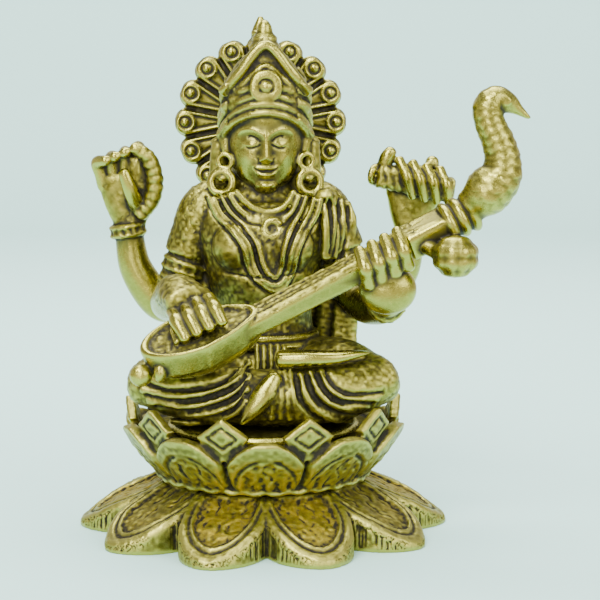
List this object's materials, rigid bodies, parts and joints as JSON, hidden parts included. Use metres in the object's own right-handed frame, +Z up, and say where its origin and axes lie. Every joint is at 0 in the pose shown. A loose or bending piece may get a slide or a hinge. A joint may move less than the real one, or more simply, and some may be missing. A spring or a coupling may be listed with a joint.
{
  "type": "seated figure statue",
  "caption": "Small cast brass figure of a seated four-armed goddess with a long-necked lute, on a lotus of two tiers, with a rayed halo pinned behind the crown.",
  "frame": {"origin": "middle of the lotus's flat underside, where it stands on the table", "axes": "+Z up, -Y the way the figure faces, +X the figure's own left, towards the lute's bird head"},
  "size_m": [0.1092, 0.0876, 0.1254],
  "materials": {
    "brass": "antique brass, polished on the high places, dark patina in the recesses",
    "aged_brass": "antique brass with browner chiselled panels and dark patina in the grooves"
  },
  "bodies": {
    "root": {"figure": "brass", "halo": "brass", "lotus_cup": "aged_brass", "lotus_foot": "aged_brass"}
  },
  "joints": []
}
